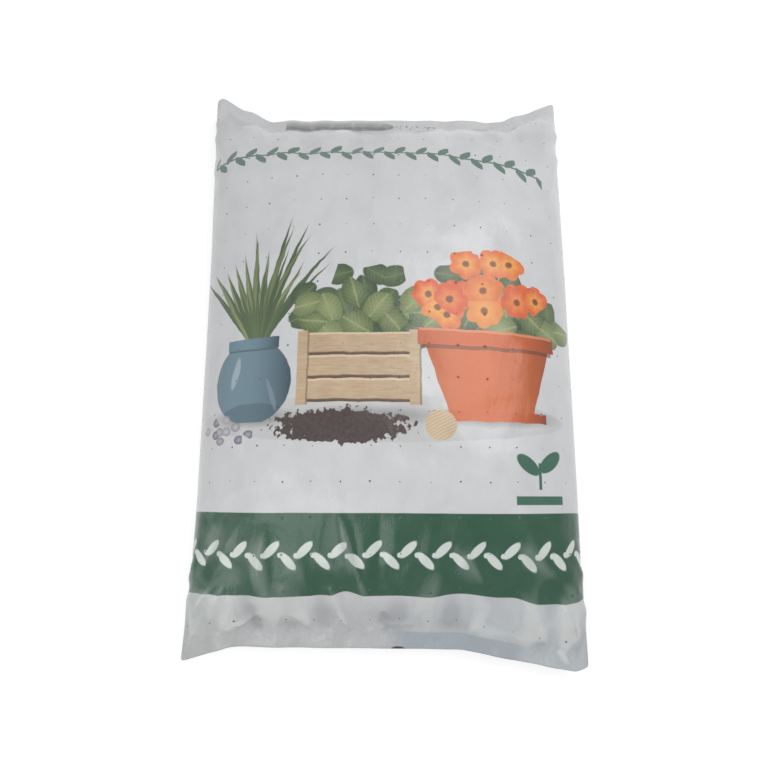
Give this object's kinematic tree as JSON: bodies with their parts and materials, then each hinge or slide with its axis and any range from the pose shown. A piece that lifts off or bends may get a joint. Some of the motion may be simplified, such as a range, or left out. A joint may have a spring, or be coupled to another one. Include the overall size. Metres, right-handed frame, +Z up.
{
  "type": "compost bag",
  "caption": "Sealed plastic film bag filled with compost, lying flat, with a welded fin at each end, ears at the corners and a printed band.",
  "frame": {"origin": "middle of the flat underside that rests on the floor", "axes": "+X across the bag, +Y along it to the top of the print, +Z up out of the printed front"},
  "size_m": [0.354, 0.549, 0.076],
  "materials": {
    "film": "glossy white printed polyethylene film with a dark green band near the lower end"
  },
  "bodies": {
    "root": {"compost_bag": "film"}
  },
  "joints": []
}
